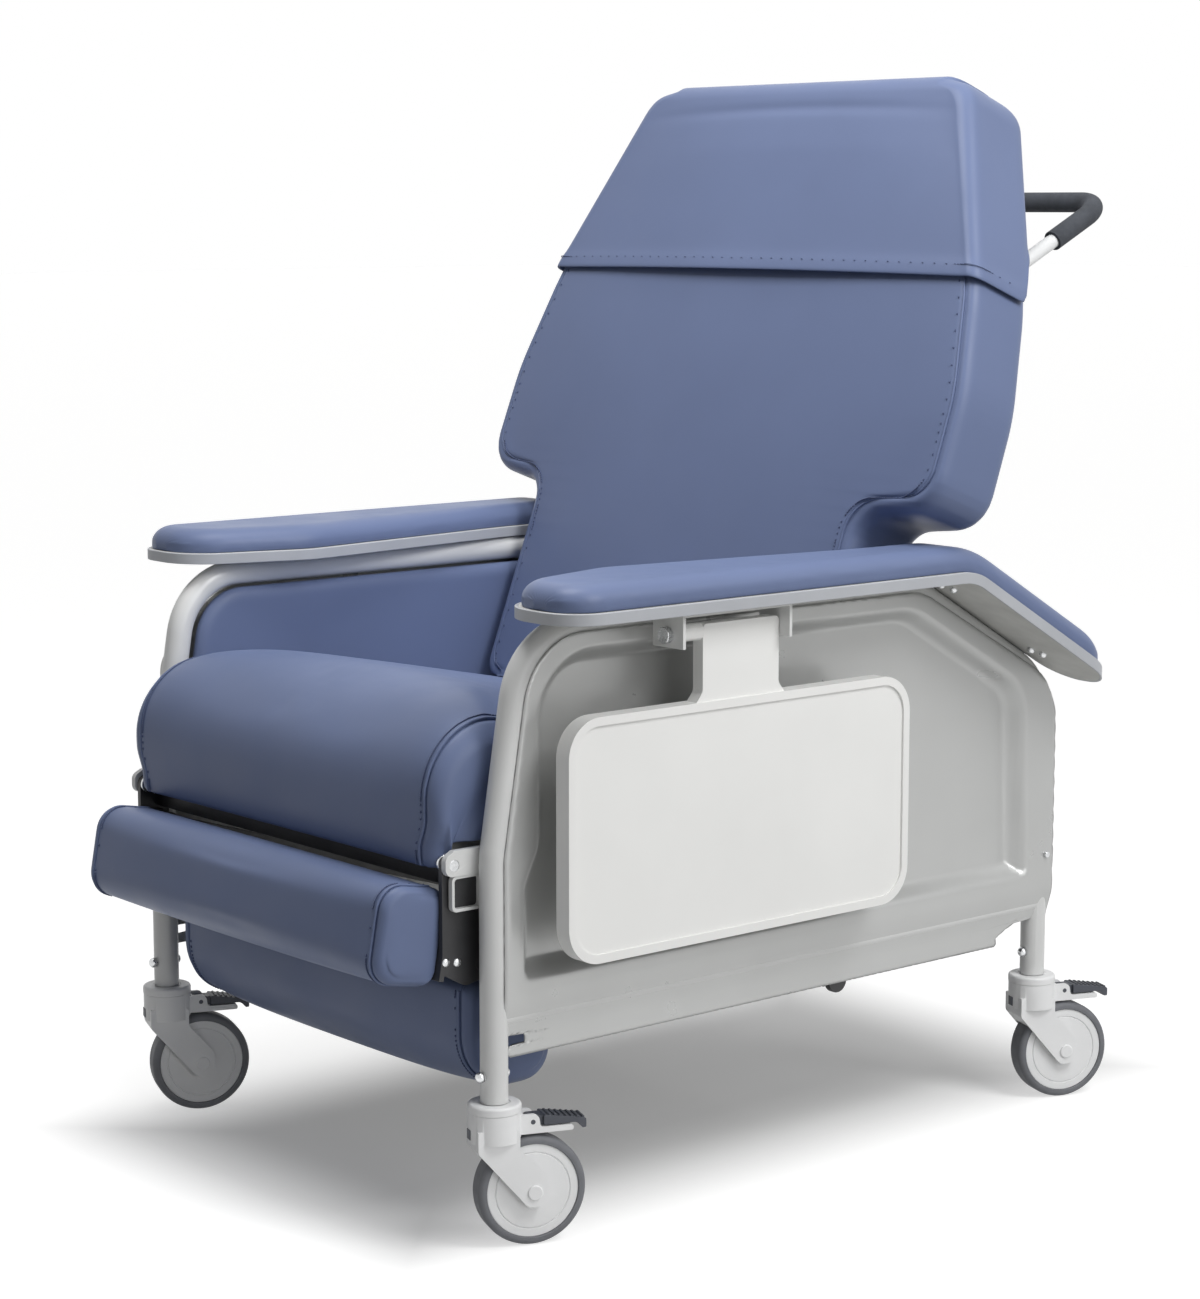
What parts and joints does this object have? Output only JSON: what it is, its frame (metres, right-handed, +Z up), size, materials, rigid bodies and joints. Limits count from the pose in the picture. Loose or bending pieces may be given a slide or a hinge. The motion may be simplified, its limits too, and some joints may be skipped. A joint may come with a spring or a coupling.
{
  "type": "clinical recliner",
  "caption": "Upholstered clinical recliner on braked castors, with a reclining back linked to a lifting leg rest, fold-down side trays, padded arms and a rear push bar.",
  "frame": {"origin": "on the floor under the middle of the chair's length and width", "axes": "+X to the sitter's left, -Y is the way the chair faces, +Z up"},
  "size_m": [0.798, 1.134, 1.1892],
  "materials": {
    "vinyl": "satin upholstery vinyl",
    "frame_paint": "satin powder coat",
    "panel_paint": "satin powder coat",
    "white_paint": "gloss paint",
    "white_plastic": "moulded plastic",
    "tray_plastic": "satin moulded plastic",
    "grey_tyre": "grey thermoplastic rubber",
    "dark_plastic": "moulded plastic",
    "trim": "flexible edge band",
    "board": "sealed plywood",
    "black_steel": "black powder coat",
    "zinc": "zinc plated",
    "foam_grip": "closed-cell foam"
  },
  "bodies": {
    "frame": {"castor_collar_front_left": "white_plastic", "castor_collar_front_right": "white_plastic", "castor_collar_rear_left": "white_plastic", "castor_collar_rear_right": "white_plastic", "side_frame_left": "frame_paint", "side_panel_left": "panel_paint", "inner_panel_left": "vinyl", "arm_board_left": "board", "arm_trim_left": "trim", "arm_pad_left": "vinyl", "tray_bracket_left": "frame_paint", "tray_pin_left": "zinc", "side_frame_right": "frame_paint", "side_panel_right": "panel_paint", "inner_panel_right": "vinyl", "arm_board_right": "board", "arm_trim_right": "trim", "arm_pad_right": "vinyl", "tray_bracket_right": "frame_paint", "tray_pin_right": "zinc", "front_rail": "black_steel", "rear_rail": "black_steel", "seat_deck": "board", "seat_cushion": "vinyl", "legrest_pins": "zinc", "back_pivot_pins": "zinc", "frame_bolts": "zinc"},
    "back": {"back_cushion": "vinyl", "headrest_cover": "vinyl", "back_frame": "black_steel", "push_bar": "white_paint", "push_grip": "foam_grip"},
    "legrest": {"legrest_frame": "black_steel", "calf_pad": "vinyl"},
    "foot_links": {"foot_frame": "black_steel"},
    "footrest": {"foot_pad": "vinyl"},
    "recline_link_left": {"recline_link_left": "black_steel"},
    "tray_left": {"tray_left": "tray_plastic"},
    "recline_link_right": {"recline_link_right": "black_steel"},
    "tray_right": {"tray_right": "tray_plastic"},
    "castor_front_left": {"castor_fork_front_left": "white_plastic", "castor_axle_front_left": "white_plastic"},
    "wheel_front_left": {"castor_hub_front_left": "white_plastic", "castor_tyre_front_left": "grey_tyre"},
    "brake_pedal_front_left": {"castor_pedal_front_left": "dark_plastic"},
    "castor_front_right": {"castor_fork_front_right": "white_plastic", "castor_axle_front_right": "white_plastic"},
    "wheel_front_right": {"castor_hub_front_right": "white_plastic", "castor_tyre_front_right": "grey_tyre"},
    "brake_pedal_front_right": {"castor_pedal_front_right": "dark_plastic"},
    "castor_rear_left": {"castor_fork_rear_left": "white_plastic", "castor_axle_rear_left": "white_plastic"},
    "wheel_rear_left": {"castor_hub_rear_left": "white_plastic", "castor_tyre_rear_left": "grey_tyre"},
    "brake_pedal_rear_left": {"castor_pedal_rear_left": "dark_plastic"},
    "castor_rear_right": {"castor_fork_rear_right": "white_plastic", "castor_axle_rear_right": "white_plastic"},
    "wheel_rear_right": {"castor_hub_rear_right": "white_plastic", "castor_tyre_rear_right": "grey_tyre"},
    "brake_pedal_rear_right": {"castor_pedal_rear_right": "dark_plastic"}
  },
  "joints": [
    {"name": "back_recline", "type": "hinge", "parent": "frame", "child": "back", "pos_m": [0, 0.064, 0.3], "axis": [-1, 0, 0], "range_deg": [0, 30]},
    {"name": "leg_rest_lift", "type": "hinge", "parent": "frame", "child": "legrest", "pos_m": [0, -0.481, 0.395], "axis": [-1, 0, 0], "range_deg": [0, 80]},
    {"name": "foot_link_swing", "type": "hinge", "parent": "legrest", "child": "foot_links", "pos_m": [0, -0.441, 0.288], "axis": [-1, 0, 0], "range_deg": [0, 90]},
    {"name": "foot_pad_level", "type": "hinge", "parent": "foot_links", "child": "footrest", "pos_m": [0, -0.386, 0.233], "axis": [-1, 0, 0], "range_deg": [-90, 0]},
    {"name": "recline_link_left_pivot", "type": "hinge", "parent": "back", "child": "recline_link_left", "pos_m": [0.258, 0.064, 0.185], "axis": [-1, 0, 0], "range_deg": [-30, 0]},
    {"name": "tray_left_swing", "type": "hinge", "parent": "frame", "child": "tray_left", "pos_m": [0.364, -0.169, 0.614], "axis": [0, -1, 0], "range_deg": [0, 90]},
    {"name": "recline_link_right_pivot", "type": "hinge", "parent": "back", "child": "recline_link_right", "pos_m": [-0.258, 0.064, 0.185], "axis": [-1, 0, 0], "range_deg": [-30, 0]},
    {"name": "tray_right_swing", "type": "hinge", "parent": "frame", "child": "tray_right", "pos_m": [-0.364, -0.169, 0.614], "axis": [0, 1, 0], "range_deg": [0, 90]},
    {"name": "castor_swivel_front_left", "type": "hinge", "parent": "frame", "child": "castor_front_left", "pos_m": [0.306, -0.443, 0.14], "axis": [0, 0, 1], "continuous": true},
    {"name": "wheel_spin_front_left", "type": "hinge", "parent": "castor_front_left", "child": "wheel_front_left", "pos_m": [0.31908, -0.40892, 0.057], "axis": [0.9336, -0.3584, 0], "continuous": true},
    {"name": "brake_pedal_front_left_press", "type": "hinge", "parent": "castor_front_left", "child": "brake_pedal_front_left", "pos_m": [0.31926, -0.40846, 0.1285], "axis": [0.9336, -0.3584, 0], "range_deg": [0, 12]},
    {"name": "castor_swivel_front_right", "type": "hinge", "parent": "frame", "child": "castor_front_right", "pos_m": [-0.306, -0.443, 0.14], "axis": [0, 0, 1], "continuous": true},
    {"name": "wheel_spin_front_right", "type": "hinge", "parent": "castor_front_right", "child": "wheel_front_right", "pos_m": [-0.29292, -0.40892, 0.057], "axis": [0.9336, -0.3584, 0], "continuous": true},
    {"name": "brake_pedal_front_right_press", "type": "hinge", "parent": "castor_front_right", "child": "brake_pedal_front_right", "pos_m": [-0.29274, -0.40846, 0.1285], "axis": [0.9336, -0.3584, 0], "range_deg": [0, 12]},
    {"name": "castor_swivel_rear_left", "type": "hinge", "parent": "frame", "child": "castor_rear_left", "pos_m": [0.306, 0.361, 0.14], "axis": [0, 0, 1], "continuous": true},
    {"name": "wheel_spin_rear_left", "type": "hinge", "parent": "castor_rear_left", "child": "wheel_rear_left", "pos_m": [0.31908, 0.39508, 0.057], "axis": [0.9336, -0.3584, 0], "continuous": true},
    {"name": "brake_pedal_rear_left_press", "type": "hinge", "parent": "castor_rear_left", "child": "brake_pedal_rear_left", "pos_m": [0.31926, 0.39554, 0.1285], "axis": [0.9336, -0.3584, 0], "range_deg": [0, 12]},
    {"name": "castor_swivel_rear_right", "type": "hinge", "parent": "frame", "child": "castor_rear_right", "pos_m": [-0.306, 0.361, 0.14], "axis": [0, 0, 1], "continuous": true},
    {"name": "wheel_spin_rear_right", "type": "hinge", "parent": "castor_rear_right", "child": "wheel_rear_right", "pos_m": [-0.29292, 0.39508, 0.057], "axis": [0.9336, -0.3584, 0], "continuous": true},
    {"name": "brake_pedal_rear_right_press", "type": "hinge", "parent": "castor_rear_right", "child": "brake_pedal_rear_right", "pos_m": [-0.29274, 0.39554, 0.1285], "axis": [0.9336, -0.3584, 0], "range_deg": [0, 12]}
  ],
  "couplings": [
    {"joint": "leg_rest_lift", "follows": "back_recline", "ratio": 2.6667},
    {"joint": "foot_link_swing", "follows": "back_recline", "ratio": 3},
    {"joint": "foot_pad_level", "follows": "back_recline", "ratio": -3},
    {"joint": "recline_link_left_pivot", "follows": "back_recline", "ratio": -1},
    {"joint": "recline_link_right_pivot", "follows": "back_recline", "ratio": -1}
  ]
}
